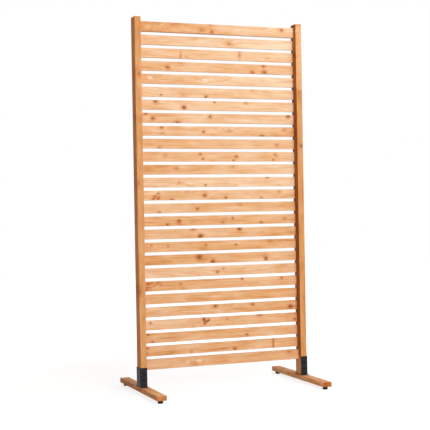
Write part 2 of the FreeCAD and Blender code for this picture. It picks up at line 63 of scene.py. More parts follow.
def middle_of(name):
    """The middle of a CAD piece's box."""
    low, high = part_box(name)
    return (Vector(low) + Vector(high)) / 2


# ---------------------------------------------------------------- node graph helpers

def linear(red, green, blue):
    """A colour given as 0 to 255 display values, as the shader's linear colour."""
    parts = []
    for value in (red, green, blue):
        value /= 255
        parts.append(value / 12.92 if value <= 0.04045 else ((value + 0.055) / 1.055) ** 2.4)
    return (*parts, 1.0)


def place(tree, kind, inputs=None, **settings):
    """A node with its settings, each of its inputs given a value or joined to a socket."""
    node = tree.nodes.new(kind)
    for name, setting in settings.items():
        setattr(node, name, setting)
    for name, source in (inputs or {}).items():
        if isinstance(source, bpy.types.NodeSocket):
            tree.links.new(source, node.inputs[name])
        else:
            node.inputs[name].default_value = source
    return node


def maths(tree, operation, *values, clamp=False):
    return place(tree, "ShaderNodeMath", dict(enumerate(values)),
                 operation=operation, use_clamp=clamp).outputs[0]


def vectors(tree, operation, *values):
    node = place(tree, "ShaderNodeVectorMath", dict(enumerate(values)), operation=operation)
    return node.outputs["Value" if operation in ("LENGTH", "DOT_PRODUCT") else "Vector"]


def vector(tree, x, y, z):
    return place(tree, "ShaderNodeCombineXYZ", {0: x, 1: y, 2: z}).outputs[0]


def part_of(tree, point, axis):
    """One axis of a point, by its capital letter."""
    return place(tree, "ShaderNodeSeparateXYZ", {0: point}).outputs[axis]


def scaled(tree, point, x, y, z):
    return vectors(tree, "MULTIPLY", point, (x, y, z))


def drawn_out(tree, point, along, across):
    """The point for a pattern with so many cycles a millimetre along x and across it."""
    return scaled(tree, point, along, across, across)


def centred(tree, value):
    """A value of 0 to 1 made to swing about 0."""
    return maths(tree, "SUBTRACT", value, 0.5)


def ramp(tree, value, start, end, low=0.0, high=1.0):
    """The value eased from low at start to high at end."""
    return place(tree, "ShaderNodeMapRange", {
        "Value": value, "From Min": start, "From Max": end, "To Min": low, "To Max": high,
    }, interpolation_type="SMOOTHSTEP").outputs["Result"]


def shades(tree, value, stops):
    """A colour that runs through the stops, each (value, colour)."""
    node = place(tree, "ShaderNodeValToRGB", {"Fac": value})
    elements = node.color_ramp.elements
    while len(elements) < len(stops):
        elements.new(0.5)
    for element, (position, colour) in zip(elements, stops):
        element.position = position
        element.color = colour
    return node.outputs["Color"]


def noise(tree, point, seed, detail, roughness=0.5, output="Fac"):
    return place(tree, "ShaderNodeTexNoise", {
        "Vector": point, "W": seed, "Scale": 1.0, "Detail": detail, "Roughness": roughness,
    }, noise_dimensions="4D").outputs[output]


def blend(tree, share, first, second, how="MIX"):
    """Two colours mixed, the share being of the second."""
    node = tree.nodes.new("ShaderNodeMix")
    node.data_type = "RGBA"
    node.blend_type = how
    # The sockets 0, 6 and 7 are the share and the two colours.
    for socket, source in zip((node.inputs[0], node.inputs[6], node.inputs[7]),
                              (share, first, second)):
        if isinstance(source, bpy.types.NodeSocket):
            tree.links.new(source, socket)
        else:
            socket.default_value = source
    return node.outputs[2]


def tinted(tree, share, colour, tint):
    """The colour, a share of it multiplied by the tint."""
    return blend(tree, share, colour, blend(tree, 1.0, colour, tint, "MULTIPLY"))


def new_group(name, inputs, outputs):
    """A shader node group, with its inputs' and outputs' sockets."""
    tree = bpy.data.node_groups.new(name, "ShaderNodeTree")
    for label, kind in inputs:
        tree.interface.new_socket(name=label, in_out="INPUT", socket_type=f"NodeSocket{kind}")
    for label, kind in outputs:
        tree.interface.new_socket(name=label, in_out="OUTPUT", socket_type=f"NodeSocket{kind}")
    given = tree.nodes.new("NodeGroupInput").outputs
    result = tree.nodes.new("NodeGroupOutput").inputs
    return tree, given, result


def new_material(name):
    """A material with its node tree and its shader."""
    material = bpy.data.materials.new(name)
    material.use_nodes = True
    tree = material.node_tree
    return material, tree, tree.nodes["Principled BSDF"]


def finish(tree, shader, colour, roughness, height, depth, gloss):
    """Joins a finish's colour, roughness and relief to its shader. Depth is in metres."""
    normal = place(tree, "ShaderNodeBump", {"Height": height, "Distance": depth}).outputs["Normal"]
    tree.links.new(colour, shader.inputs["Base Color"])
    tree.links.new(roughness, shader.inputs["Roughness"])
    tree.links.new(normal, shader.inputs["Normal"])
    shader.inputs["Specular IOR Level"].default_value = gloss


# ---------------------------------------------------------------- softwood

# The stained wood's colours, from where it took most of the stain to where it stayed pale, and
# the tints of late wood, of end grain and of the wood round a knot.
HONEY_TONES = (
    (0.00, linear(146, 76, 20)), (0.20, linear(188, 112, 40)), (0.38, linear(217, 155, 94)),
    (0.48, linear(230, 173, 118)), (0.80, linear(247, 215, 181)), (1.00, linear(251, 232, 207)))
LATE_WOOD_TINT = (0.80, 0.56, 0.36, 1.0)
END_GRAIN_TINT = (0.80, 0.62, 0.48, 1.0)
KNOT_HALO_TINT = (0.78, 0.50, 0.28, 1.0)
KNOT_HEART = linear(150, 80, 44)
KNOT_RIM = linear(84, 40, 26)

# A tone of 0 is this far along the honey tones, and a tone of 1 this much further.
TONE_MIDDLE, TONE_SPAN = 0.44, 0.40


def make_knot_group():
    """One knot: bends the grain aside, and adds its wood and its dark rim to those so far.

    The branch is a rod through the board along Branch. Everything is in millimetres.
    """
    tree, given, result = new_group(
        "knot_in_board",
        [("Point", "Vector"), ("Uneven", "Float"), ("Grain", "Vector"), ("Knot Wood", "Float"),
         ("Rim", "Float"), ("Centre", "Vector"), ("Branch", "Vector"), ("Radius", "Float"),
         ("Stretch", "Float"), ("Depth", "Float"), ("Rim Depth", "Float")],
        [("Grain", "Vector"), ("Knot Wood", "Float"), ("Rim", "Float")])

    # How far the point is from the branch's middle line, in the knot's own radii.
    offset = vectors(tree, "SUBTRACT", given["Point"], given["Centre"])
    across = vectors(tree, "SUBTRACT", offset,
                     vectors(tree, "PROJECT", offset, given["Branch"]))
    slim = vector(tree, maths(tree, "DIVIDE", 1.0, given["Stretch"]), 1.0, 1.0)
    across = vectors(tree, "MULTIPLY", across, slim)
    distance = maths(tree, "DIVIDE", vectors(tree, "LENGTH", across), given["Radius"])
    ragged = maths(tree, "ADD", distance, maths(tree, "MULTIPLY", given["Uneven"], 0.5))

    # The knot's own wood with its rings and its heart, and the stained halo round it.
    inside = ramp(tree, ragged, 1.06, 0.86)
    ring_count = maths(tree, "MULTIPLY", given["Radius"], 5.5)
    rings = maths(tree, "SINE", maths(tree, "MULTIPLY", ragged, ring_count))
    rings = maths(tree, "MULTIPLY_ADD", rings, 0.12, 0.88)
    heart = ramp(tree, ragged, 0.9, 0.0, 0.0, 0.25)
    wood = maths(tree, "MULTIPLY", maths(tree, "MULTIPLY", inside, given["Depth"]),
                 maths(tree, "ADD", rings, heart))
    halo = maths(tree, "MULTIPLY", ramp(tree, ragged, 3.4, 0.8, 0.0, 0.62), given["Depth"])
    from_rim = maths(tree, "ABSOLUTE", maths(tree, "SUBTRACT", ragged, 0.98))
    rim = maths(tree, "MULTIPLY", ramp(tree, from_rim, 0.2, 0.03), given["Rim Depth"])

    # The grain parts round the knot: near it, every line is pushed away from its middle.
    reach = scaled(tree, across, 0.34, 0.62, 0.62)
    reach = maths(tree, "DIVIDE", vectors(tree, "LENGTH", reach), given["Radius"])
    push = maths(tree, "EXPONENT", maths(tree, "MULTIPLY", maths(tree, "POWER", reach, 2.0), -1.0))
    push = maths(tree, "MULTIPLY", push, 0.86)
    aside = vectors(tree, "MULTIPLY", across, vector(tree, 0.0, push, push))

    links = tree.links
    links.new(vectors(tree, "SUBTRACT", given["Grain"], aside), result["Grain"])
    links.new(maths(tree, "ADD", given["Knot Wood"], maths(tree, "MAXIMUM", wood, halo)),
              result["Knot Wood"])
    links.new(maths(tree, "MAXIMUM", given["Rim"], rim), result["Rim"])
    return tree


def yearly_rings(tree, grain, bent, given):
    """How dark the late wood of each year's ring is, where the rings run round the heart."""
    along = part_of(tree, grain, "X")
    heart = vectors(tree, "MULTIPLY_ADD", given["Lean"], vector(tree, along, along, along),
                    given["Heart"])
    from_heart = scaled(tree, vectors(tree, "SUBTRACT", bent, heart), 0.0, 1.0, 1.0)
    rings = maths(tree, "DIVIDE", vectors(tree, "LENGTH", from_heart), given["Ring Width"])
    years = place(tree, "ShaderNodeTexNoise", {
        "W": maths(tree, "MULTIPLY_ADD", rings, 0.31, given["Seed"]), "Scale": 1.0, "Detail": 1.0,
    }, noise_dimensions="1D").outputs["Fac"]
    rings = maths(tree, "MULTIPLY_ADD", years, 2.4, rings)
    season = maths(tree, "FRACT", rings)
    year = maths(tree, "MULTIPLY_ADD", given["Seed"], 17.0, maths(tree, "FLOOR", rings))
    strong = place(tree, "ShaderNodeTexWhiteNoise", {"W": year},
                   noise_dimensions="1D").outputs["Value"]
    late = maths(tree, "MULTIPLY", maths(tree, "POWER", season, 2.6),
                 ramp(tree, season, 1.0, 0.93))
    return maths(tree, "MULTIPLY", late, maths(tree, "MULTIPLY_ADD", strong, 0.65, 0.35))


def make_softwood_group():
    """Planed, honey-stained softwood: yearly rings round the tree's heart, fibres and streaks.

    Grain is in the board's own millimetres, x along the board. Heart is the place of the tree's
    heart beside the board and Lean how it runs aside along the board.
    """
    tree, given, result = new_group(
        "stained_softwood",
        [("Grain", "Vector"), ("Knot Wood", "Float"), ("Rim", "Float"), ("End", "Float"),
         ("Heart", "Vector"), ("Lean", "Vector"), ("Seed", "Float"), ("Tone", "Float"),
         ("Figure", "Float"), ("Ring Width", "Float")],
        [("Color", "Color"), ("Roughness", "Float"), ("Height", "Float")])
    grain, seed = given["Grain"], given["Seed"]

    # The fibres wander: a long sway and a short ripple, both in millimetres.
    bent = grain
    for pattern, detail, reach in (((0.0024, 0.012), 1.0, 26.0), ((0.014, 0.06), 2.0, 2.6)):
        wander = noise(tree, drawn_out(tree, grain, *pattern), seed, detail, output="Color")
        bent = vectors(tree, "MULTIPLY_ADD", vectors(tree, "SUBTRACT", wander, (0.5, 0.5, 0.5)),
                       (0.0, reach, reach), bent)

    late = yearly_rings(tree, grain, bent, given)
    fibre = noise(tree, drawn_out(tree, grain, 0.028, 1.9), seed, 3.0, 0.6)
    pores = noise(tree, drawn_out(tree, grain, 0.09, 5.5), seed, 1.0)
    streak = noise(tree, drawn_out(tree, bent, 0.0042, 0.23), seed, 2.5, 0.6)
    cloud = noise(tree, drawn_out(tree, bent, 0.0055, 0.026), seed, 2.0)
    patch = noise(tree, drawn_out(tree, grain, 0.013, 0.05), maths(tree, "ADD", seed, 40.0), 2.0)

    # How pale the wood is: the board's tone, its figure, and the pale wood beside some knots.
    knot = maths(tree, "MAXIMUM", given["Knot Wood"], 0.0)
    pale = maths(tree, "MINIMUM", given["Knot Wood"], 0.0)
    figure = maths(tree, "MULTIPLY", centred(tree, cloud), 1.2)
    figure = maths(tree, "MULTIPLY_ADD", centred(tree, patch), 0.8, figure)
    figure = maths(tree, "MULTIPLY_ADD", centred(tree, streak), 1.45, figure)
    tone = maths(tree, "MULTIPLY_ADD", figure, given["Figure"], given["Tone"])
    tone = maths(tree, "MULTIPLY_ADD", pale, -1.6, tone)
    share = maths(tree, "MULTIPLY_ADD", tone, TONE_SPAN, TONE_MIDDLE, clamp=True)
    wood = shades(tree, share, HONEY_TONES)

    lateness = maths(tree, "MULTIPLY", maths(tree, "MULTIPLY", late, given["Figure"]), 0.8)
    wood = tinted(tree, lateness, wood, LATE_WOOD_TINT)
    thread = maths(tree, "MULTIPLY_ADD", centred(tree, fibre), 0.5, 1.0)
    thread = maths(tree, "MULTIPLY_ADD", centred(tree, pores), 0.16, thread)
    warm_thread = vector(tree, maths(tree, "POWER", thread, 0.55), thread,
                         maths(tree, "POWER", thread, 1.4))
    wood = blend(tree, 1.0, wood, warm_thread, "MULTIPLY")
    # End grain soaks up more of the stain.
    wood = tinted(tree, given["End"], wood, END_GRAIN_TINT)
    # The wood round a knot is stained warm, and the knot itself is dark.
    wood = tinted(tree, maths(tree, "MULTIPLY", knot, 1.5, clamp=True), wood, KNOT_HALO_TINT)
    wood = blend(tree, ramp(tree, knot, 0.40, 0.95, 0.0, 0.92), wood, KNOT_HEART)
    wood = blend(tree, maths(tree, "MULTIPLY", given["Rim"], 0.80, clamp=True), wood, KNOT_RIM)

    # Late wood and knots are denser, so they are smoother and stand a little higher.
    rough = maths(tree, "MULTIPLY_ADD", fibre, 0.16, 0.52)
    rough = maths(tree, "MULTIPLY_ADD", late, -0.08, rough)
    rough = maths(tree, "MULTIPLY_ADD", knot, -0.08, rough)
    height = maths(tree, "MULTIPLY_ADD", late, 0.07, maths(tree, "MULTIPLY", fibre, 0.10))
    height = maths(tree, "MULTIPLY_ADD", knot, 0.05, height)
    height = maths(tree, "MULTIPLY_ADD", given["Rim"], -0.09, height)
    tree.links.new(wood, result["Color"])
    tree.links.new(rough, result["Roughness"])
    tree.links.new(height, result["Height"])
    return tree


knot_group = make_knot_group()
softwood_group = make_softwood_group()

# A knot is (along, up, kind, radius) in mm from the board's middle: along its length, and up on
# its face, which is to the left on a post. Each kind gives how much the knot is stretched along
# the grain, how dark its wood and its rim are, less than 0 being pale, and the way its branch runs
# through the board.
KNOT_KINDS = {
    "eye": (1.30, 0.77, 0.30, (0.30, 1.0, 0.10)),
    "ring": (1.20, 0.88, 0.75, (0.20, 1.0, 0.05)),
    "faint": (1.70, 0.32, 0.00, (0.25, 1.0, 0.20)),
    "warm": (1.60, 0.52, 0.00, (0.20, 1.0, -0.10)),
    "fleck": (1.30, 0.58, 0.05, (0.10, 1.0, 0.10)),
    "edge": (2.40, 0.75, 0.20, (0.15, 1.0, 0.10)),
    "streak": (14.0, 0.55, 0.00, (0.00, 1.0, 0.00)),
    "pale": (2.20, -0.55, 0.00, (0.25, 1.0, 0.10)),
    "fair": (3.00, -0.35, 0.00, (0.25, 1.0, 0.10)),
    "spike": (0.90, 0.52, 0.00, (0.10, 0.34, 1.0)),
    "line": (0.90, 0.66, 0.00, (0.02, 0.03, 1.0)),
    "side": (1.40, 0.85, 0.30, (0.25, 0.15, 1.0)),
    # Painted light: a pale patch through a post's sides low down, standing in for the light that
    # reaches under the bottom rail.
    "side_fair": (2.50, -0.90, 0.00, (0.00, 0.00, 1.0)),
}

# The branch of a spike or a line lies under the slat's front face, this many mm from its middle.
UNDER_FACE = -6.5

# A board's tilt in tone is for this many mm of its length, and its lean for this many.
TILT_LENGTH, LEAN_LENGTH = 400, 1000

# Which way a board's grain runs: the turn that brings it to the pattern's x axis, and its axis.
ACROSS = ((0.0, 0.0, 0.0), (1, 0, 0))
UPRIGHT = ((0.0, math.radians(90), 0.0), (0, 0, 1))
FRONT_TO_BACK = ((0.0, 0.0, math.radians(-90)), (0, 1, 0))


def knot_centre(kind, along, up):
    """A knot's middle on the board's own axes. On a post's side, up is towards the front."""
    if kind.startswith("side"):
        return along, -up, 0.0
    if kind in ("spike", "line"):
        return along, UNDER_FACE, up
    return along, 0.0, up


def board_material(name, run, seed, tone, tone_and_light_tilt, heart, lean, knots, ring_width, figure=1.0,
                   painted_side_light=0.0, ends=0.0):
    """The stained wood of one board, which its own axes stand in the middle of, x along its grain.

    Tone is how pale it took the stain. The tilt is how much paler it is 400 mm along: on the
    slats and rails partly their own tone and partly painted light, the right ends of the upper
    boards made paler to stand in for a sheen of the softbox's light, and on the beams painted
    light along their sides. Heart is the place of the tree's heart in mm, and lean how that place
    moves in mm over each metre. The sides value is painted light and shade: how much paler the
    faces across x are, darker on the posts' sides, darkest on the right post's inner face, and
    lighter or darker on the beams' sides by how the light falls on them. The ends value is how
    much paler its ends are.
    """
    material, tree, shader = new_material(f"honey_stain_{name}")
    turn, grain_axis = run
    middle = Matrix.Rotation(turn[1], 3, "Y") @ Matrix.Rotation(turn[2], 3, "Z") @ middle_of(name)
    coordinates = tree.nodes.new("ShaderNodeTexCoord")
    point = place(tree, "ShaderNodeMapping", {
        "Vector": coordinates.outputs["Object"], "Location": -middle / MM, "Rotation": turn,
        "Scale": (1 / MM, 1 / MM, 1 / MM)}).outputs["Vector"]

    def facing(axis, start, end):
        """1 where the surface looks along the axis, either way."""
        share = vectors(tree, "DOT_PRODUCT", coordinates.outputs["Normal"], axis)
        return ramp(tree, maths(tree, "ABSOLUTE", share), start, end)

    end = facing(grain_axis, 0.55, 0.95)
    # Painted light, in part: the tone tilts along the board, standing in for the sheen on the upper
    # boards' right ends and for the light along the beams' sides.
    tone = maths(tree, "MULTIPLY_ADD", part_of(tree, point, "X"), tone_and_light_tilt / TILT_LENGTH, tone)
    # Painted light and shade: faces across x, the sides of the posts and beams, are made darker or
    # paler to stand in for how the light falls on them.
    if painted_side_light:
        tone = maths(tree, "MULTIPLY_ADD", facing((1, 0, 0), 0.4, 0.9), painted_side_light, tone)
    tone = maths(tree, "MULTIPLY_ADD", end, ends, tone)

    uneven = centred(tree, noise(tree, scaled(tree, point, 0.16, 0.16, 0.16), seed, 2.0))
    grain, knot_wood, rim = point, 0.0, 0.0
    for along, up, kind, radius in knots:
        stretch, depth, rim_depth, branch = KNOT_KINDS[kind]
        knot = place(tree, "ShaderNodeGroup", {
            "Point": point, "Uneven": uneven, "Grain": grain, "Knot Wood": knot_wood, "Rim": rim,
            "Centre": knot_centre(kind, along, up), "Branch": branch, "Radius": radius,
            "Stretch": stretch, "Depth": depth, "Rim Depth": rim_depth}, node_tree=knot_group)
        grain, knot_wood, rim = knot.outputs
    wood = place(tree, "ShaderNodeGroup", {
        "Grain": grain, "Knot Wood": knot_wood, "Rim": rim, "End": end, "Heart": (0.0, *heart),
        "Lean": (0.0, lean[0] / LEAN_LENGTH, lean[1] / LEAN_LENGTH), "Seed": seed, "Tone": tone,
        "Figure": figure, "Ring Width": ring_width}, node_tree=softwood_group).outputs
    finish(tree, shader, wood["Color"], wood["Roughness"], wood["Height"], depth=MM, gloss=0.2)
    return material


# Each slat from the top: how pale it took the stain, how much paler it is 400 mm to the right,
# partly its own tone and partly painted light, a sheen on the upper slats' right ends, the heart's
# place behind the board and above its middle, how it leans in y and z, and its knots.
SLATS = (
    (0.70, 0.25, (42, 20), (30, 12), ((60, -5, "warm", 8),)),
    (0.50, 0.05, (-38, 62), (12, -25), (
        (-195, -10, "spike", 4), (-165, -15, "faint", 6), (115, 10, "spike", 5),
        (265, -7, "faint", 4))),
    (0.35, 0.05, (55, -40), (-20, 18), (
        (-260, -4, "eye", 6), (-185, 21, "faint", 6), (245, 17, "eye", 5),
        (185, -15, "eye", 5), (250, -14, "eye", 7))),
    (0.60, 0.40, (30, 12), (26, -8), ((-65, 0, "pale", 9), (-350, 5, "pale", 7))),
    (0.55, 0.10, (-50, 34), (18, 14), (
        (-295, -13, "eye", 3), (-185, -12, "faint", 6), (-65, -18, "eye", 5.5),
        (185, 20, "faint", 6))),
    (0.60, 0.15, (46, 58), (-10, -22), (
        (-325, 17, "eye", 6.5), (-180, -10, "ring", 7), (-20, 19, "eye", 3.5),
        (145, 17, "warm", 5))),
    (0.42, 0.15, (34, -52), (14, 20), (
        (-375, 20, "eye", 4), (-340, -2, "eye", 6.5), (-215, -20, "edge", 5),
        (-45, 10, "eye", 5), (375, 16, "ring", 6))),
    (0.35, -0.05, (-60, 18), (24, -16), (
        (-295, 16, "eye", 4.5), (-290, -10, "faint", 6), (-80, -3, "eye", 4.5),
        (60, 4, "faint", 4), (355, 9, "warm", 5), (230, -19, "edge", 4))),
    (0.35, 0.05, (28, 70), (-14, 28), ((-310, -19, "warm", 5), (310, -5, "fleck", 5))),
    (0.42, 0.10, (52, -28), (20, 10), (
        (-280, 5, "warm", 5), (-100, 13, "eye", 3.5), (-85, -10, "eye", 3.5), (90, 1, "eye", 4.5),
        (75, -18, "eye", 3.5), (295, 14, "fleck", 3.5), (305, 6, "fleck", 3.5),
        (290, -15, "eye", 3))),
    (0.35, 0.25, (-44, 40), (-22, -18), ((-225, 6, "warm", 5), (75, 15, "faint", 6))),
    (0.60, 0.05, (38, -18), (28, 6), (
        (-75, -14, "eye", 3.5), (-215, 1, "faint", 5), (255, 21, "edge", 3))),
    (0.40, 0.00, (62, 30), (10, -24), (
        (-320, 10, "eye", 3.5), (-335, -4, "eye", 4), (-345, -16, "eye", 3.5),
        (-320, -15, "eye", 3.5), (-316, -5, "fleck", 3), (-250, -19, "edge", 3),
        (-80, -3, "eye", 4.5), (-80, 12, "faint", 7), (-175, 19, "faint", 5),
        (30, -15, "eye", 4.5), (220, -17, "fleck", 4), (320, 10, "warm", 5))),
    (0.35, -0.05, (-34, -58), (16, 22), (
        (-315, -19, "eye", 3.5), (-120, -4, "eye", 4.5), (-145, 21, "faint", 5),
        (105, 13, "faint", 5))),
    (0.18, 0.05, (48, 44), (-26, 8), (
        (-215, 1, "eye", 5), (-275, -16, "eye", 3.5), (-145, -2, "faint", 5),
        (-215, -14, "faint", 6), (65, 9, "eye", 4), (30, 6, "faint", 5), (10, -12, "warm", 4),
        (220, -15, "eye", 3.5), (345, 0, "warm", 5))),
    (0.30, -0.15, (40, -66), (18, -14), (
        (-145, 22, "edge", 4), (-110, -14, "ring", 6.5), (-92, -10, "faint", 5),
        (100, 17, "ring", 6))),
    (0.16, -0.05, (-56, 26), (22, 20), (
        (-360, 11, "fleck", 3.5), (-275, 5, "fleck", 3.5), (-80, 5, "fleck", 4),
        (-90, -16, "faint", 5), (80, 3, "eye", 3), (260, 16, "warm", 5))),
    (0.18, 0.20, (32, 50), (-18, -20), (
        (-115, 9, "ring", 8), (-45, -15, "ring", 6), (240, -11, "ring", 5.5),
        (240, 6, "faint", 5))),
    (0.50, -0.10, (58, -24), (26, 12), ((-20, -5, "eye", 4.5), (10, 11, "fleck", 3))),
    (0.26, 0.15, (-40, 64), (12, -26), (
        (325, 15, "eye", 3.5), (110, 19, "eye", 4), (-215, 6, "fleck", 4), (-385, 17, "fleck", 4),
        (-376, 11, "fleck", 3), (-364, 18, "fleck", 3), (-388, -3, "fleck", 4),
        (-370, -5, "fleck", 4), (-386, -16, "fleck", 4), (-350, 4, "fleck", 3),
        (-337, 10, "fleck", 3), (-327, 19, "fleck", 3), (-315, 5, "warm", 4),
        (-205, -17, "faint", 5))),
    (0.20, -0.10, (36, -46), (-24, 16), ()),
    (0.28, -0.10, (50, 22), (20, -10), (
        (-35, 15, "eye", 6), (165, 15, "eye", 5), (370, -6, "ring", 7))),
    (0.40, -0.25, (-30, 54), (14, 24), (
        (-370, 12, "eye", 3.5), (-95, 20, "eye", 5.5), (-98, 12, "fleck", 3),
        (-88, 1, "eye", 4.5), (-78, 6, "fleck", 3), (-70, 12, "eye", 3.5),
        (-95, -8, "fleck", 3), (-150, -14, "faint", 4), (25, 11, "fleck", 3),
        (200, 22, "edge", 4), (395, -8, "eye", 4))),
    (0.22, 0.10, (44, -36), (-16, -18), (
        (-385, 21, "eye", 3.5), (-360, -19, "eye", 4), (130, -9, "eye", 4),
        (-270, -3, "streak", 2.5))),
    (0.28, -0.05, (60, 38), (24, 14), (
        (-390, 17, "eye", 4.5), (-395, -8, "eye", 5), (-165, -15, "fleck", 4),
        (65, -15, "eye", 4.5), (270, 0, "line", 4), (-55, -12, "streak", 2.5),
        (10, -8, "streak", 2))),
)

# Each rail, the rest as for the slats.
RAILS = (
    ("top_rail", 0.33, 0.45, (48, 30), (16, -14), (
        (-85, -8, "warm", 6), (-30, -13, "eye", 5), (-40, 20, "warm", 6),
        (-230, 19, "faint", 10), (345, 12, "eye", 5), (-400, 0, "fair", 22))),
    ("bottom_rail", 0.30, -0.10, (-52, 40), (20, 18), (
        (-125, 3, "pale", 8), (-185, 1, "pale", 6), (-155, -9, "faint", 6),
        (355, 14, "warm", 5))),
)

# Each post: how much paler its sides are, which is painted shade, darkest on the right post's
# inner face, and the rest as for the slats, along being upwards.
POSTS = (
    ("left_post", -0.42, -0.10, 0.00, (40, 36), (9, -7), (
        (612, -3, "warm", 9), (93, 5, "warm", 8), (-423, 8, "warm", 8), (395, 12, "side", 7),
        (90, -11, "side", 6), (-97, -10, "side", 6), (-422, -9, "side", 7),
        (-213, 5, "side", 5))),
    ("right_post", -0.80, -0.17, 0.00, (46, -34), (-8, 9), (
        (276, -3, "eye", 5), (-330, 6, "faint", 6), (640, 0, "fair", 34),
        # The patch low on the sides is painted light, standing in for the light under the bottom
        # rail.
        (800, 0, "fair", 30), (-850, 0, "side_fair", 26))),
)

# Each foot beam: how much paler its sides are, which is painted light and shade, lighter on the
# right beam and darker on the left, how much paler its ends are, and the rest as for the slats,
# along being backwards, its tilt being painted light along the beam, the left one lighter towards
# the front.
BEAMS = (
    ("left_foot_beam", -0.40, -0.20, -0.05, -0.38, (44, 52), (14, -10), (
        (150, 3, "eye", 5), (-120, -2, "faint", 6))),
    ("right_foot_beam", 0.42, -0.05, -0.29, 0.06, (-48, 46), (-12, 12), (
        (-170, 2, "faint", 6), (90, 1, "eye", 4))),
)

# The boards' seeds, one for each, start from these.
RAIL_SEED, POST_SEED, BEAM_SEED = 31, 41, 51

for number, looks in enumerate(SLATS, start=1):
    slat = f"slat_{number:02d}"
    dress(slat, board_material(slat, ACROSS, float(number), *looks,
                               ring_width=2.3 + (number * 7 % 5) * 0.3))
for number, (rail, *looks) in enumerate(RAILS, start=RAIL_SEED):
    dress(rail, board_material(rail, ACROSS, float(number), *looks, ring_width=3.1))
for number, (post, painted_side_light, *looks) in enumerate(POSTS, start=POST_SEED):
    dress(post, board_material(post, UPRIGHT, float(number), *looks, ring_width=3.0, figure=0.6,
                               painted_side_light=painted_side_light))
for number, (beam, painted_side_light, ends, *looks) in enumerate(BEAMS, start=BEAM_SEED):
    dress(beam, board_material(beam, FRONT_TO_BACK, float(number), *looks, ring_width=2.8,
                               figure=1.2, painted_side_light=painted_side_light, ends=ends))


# ---------------------------------------------------------------- metal, plastic and rubber

def make_wear_group():
    """Dust that gathers low down, fine scuffs and the fine texture of a moulded or coated face."""
    tree, given, result = new_group(
        "surface_wear",
        [("Point", "Vector"), ("Texture Size", "Float"), ("Seed", "Float")],
        [("Texture", "Float"), ("Scuffs", "Float"), ("Mottle", "Float"), ("Dust", "Float")])
    point, seed, size = given["Point"], given["Seed"], given["Texture Size"]
    small = vectors(tree, "DIVIDE", point, vector(tree, size, size, size))
    texture = noise(tree, small, seed, 2.0)
    scuffs = ramp(tree, noise(tree, scaled(tree, point, 0.35, 0.9, 0.05), seed, 4.0, 0.65),
                  0.62, 0.74)
    mottle = noise(tree, scaled(tree, point, 0.045, 0.045, 0.045), seed, 3.0)
    specks = ramp(tree, noise(tree, scaled(tree, point, 0.5, 0.5, 0.5), seed, 3.0, 0.7), 0.4, 0.8)
    low_down = ramp(tree, part_of(tree, point, "Z"), 95.0, 10.0)
    dust = maths(tree, "MULTIPLY", low_down, specks)
    for label, value in (("Texture", texture), ("Scuffs", scuffs), ("Mottle", mottle),
                         ("Dust", dust)):
        tree.links.new(value, result[label])
    return tree


wear_group = make_wear_group()


def worn(tree, texture_size, seed):
    """The wear group's outputs, read in millimetres on the object."""
    coordinates = tree.nodes.new("ShaderNodeTexCoord")
    point = place(tree, "ShaderNodeMapping", {
        "Vector": coordinates.outputs["Object"], "Scale": (1 / MM, 1 / MM, 1 / MM)}).outputs[0]
    return place(tree, "ShaderNodeGroup", {
        "Point": point, "Texture Size": texture_size, "Seed": seed}, node_tree=wear_group).outputs


def spread(tree, mask, most, colour, over):
    """A colour with another over it where the mask says, at most so much of it."""
    return blend(tree, maths(tree, "MULTIPLY", mask, most), colour, over)


def make_powder_coat():
    material, tree, shader = new_material("black_powder_coat")
    wear = worn(tree, 0.9, 1.0)
    colour = blend(tree, wear["Mottle"], linear(18, 16, 23), linear(27, 24, 33))
    colour = spread(tree, wear["Scuffs"], 0.25, colour, linear(92, 88, 90))
    colour = spread(tree, wear["Dust"], 0.22, colour, linear(150, 138, 124))
    rough = maths(tree, "MULTIPLY_ADD", wear["Mottle"], 0.2, 0.42)
    rough = maths(tree, "MULTIPLY_ADD", wear["Dust"], 0.2, rough)
    finish(tree, shader, colour, rough, wear["Texture"], depth=0.06 * MM, gloss=0.22)
    return material


def make_black_screws():
    material, tree, shader = new_material("black_screws_coat_and_painted_shade")
    wear = worn(tree, 0.6, 2.0)
    # The screws' black coating, made darker still as painted shade, standing in for the shade round
    # the heads.
    colour = blend(tree, wear["Scuffs"], linear(7, 6, 8), linear(34, 33, 35))
    rough = maths(tree, "MULTIPLY_ADD", wear["Mottle"], 0.2, 0.30)
    bare = maths(tree, "MULTIPLY", wear["Scuffs"], 0.4)
    tree.links.new(bare, shader.inputs["Metallic"])
    finish(tree, shader, colour, rough, wear["Texture"], depth=0.02 * MM, gloss=0.12)
    return material


def make_bright_steel(name, cool, warm, smoothest):
    """Bright metal, its colour between a cool and a warm one, with dull dust on it."""
    material, tree, shader = new_material(name)
    wear = worn(tree, 0.5, 3.0)
    colour = blend(tree, wear["Mottle"], cool, warm)
    colour = spread(tree, wear["Dust"], 0.35, colour, linear(120, 112, 102))
    rough = maths(tree, "MULTIPLY_ADD", wear["Mottle"], 0.22, smoothest)
    clean = maths(tree, "MULTIPLY_ADD", wear["Dust"], -0.4, 1.0)
    tree.links.new(clean, shader.inputs["Metallic"])
    finish(tree, shader, colour, rough, wear["Texture"], depth=0.015 * MM, gloss=0.5)
    return material


def make_grip_plastic():
    material, tree, shader = new_material("moulded_black_plastic")
    wear = worn(tree, 0.7, 4.0)
    colour = blend(tree, wear["Mottle"], linear(9, 8, 11), linear(14, 12, 16))
    colour = spread(tree, wear["Dust"], 0.08, colour, linear(140, 130, 118))
    rough = maths(tree, "MULTIPLY_ADD", wear["Texture"], 0.15, 0.42)
    finish(tree, shader, colour, rough, wear["Texture"], depth=0.05 * MM, gloss=0.2)
    return material


